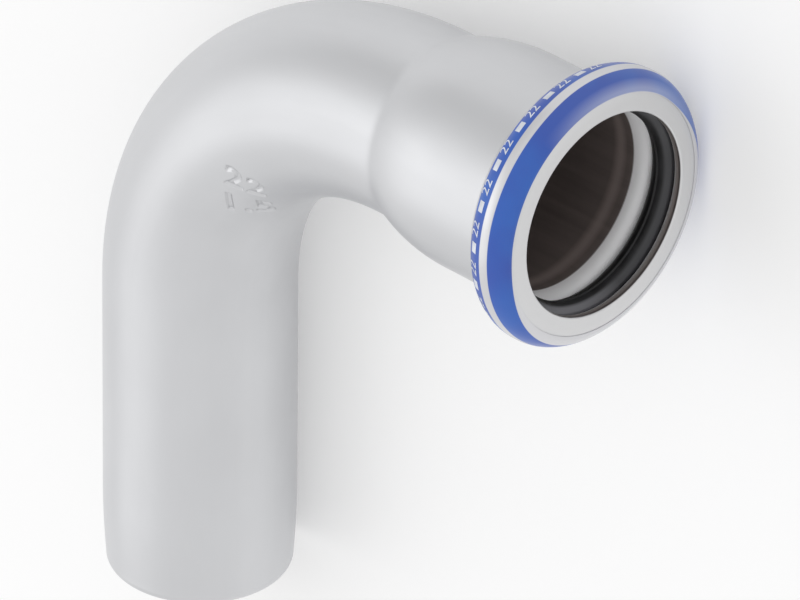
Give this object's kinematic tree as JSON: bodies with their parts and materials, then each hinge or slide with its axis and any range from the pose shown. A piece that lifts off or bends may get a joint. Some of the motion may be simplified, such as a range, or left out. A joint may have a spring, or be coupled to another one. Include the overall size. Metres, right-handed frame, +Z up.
{
  "type": "pipe bend",
  "caption": "Quarter-turn steel pipe bend with one plain tube end and one press socket, whose round bead holds a seal ring under a coloured film.",
  "frame": {"origin": "on the surface that the bend lies on, below the middle of its overall box", "axes": "+Y from the plain end towards the bend, +X from the bend towards the socket's mouth, +Z up; the socket's axis rises about 5 degrees from +X because the bend lies on its leg and on its wider bead"},
  "size_m": [0.0742, 0.0886, 0.0327],
  "materials": {
    "stainless_steel": "satin, pickled",
    "seal_rubber": "smooth moulded",
    "indicator_film": "glossy printed film"
  },
  "bodies": {
    "root": {"bend_body": "stainless_steel", "seal_ring": "seal_rubber", "press_indicator": "indicator_film"}
  },
  "joints": []
}
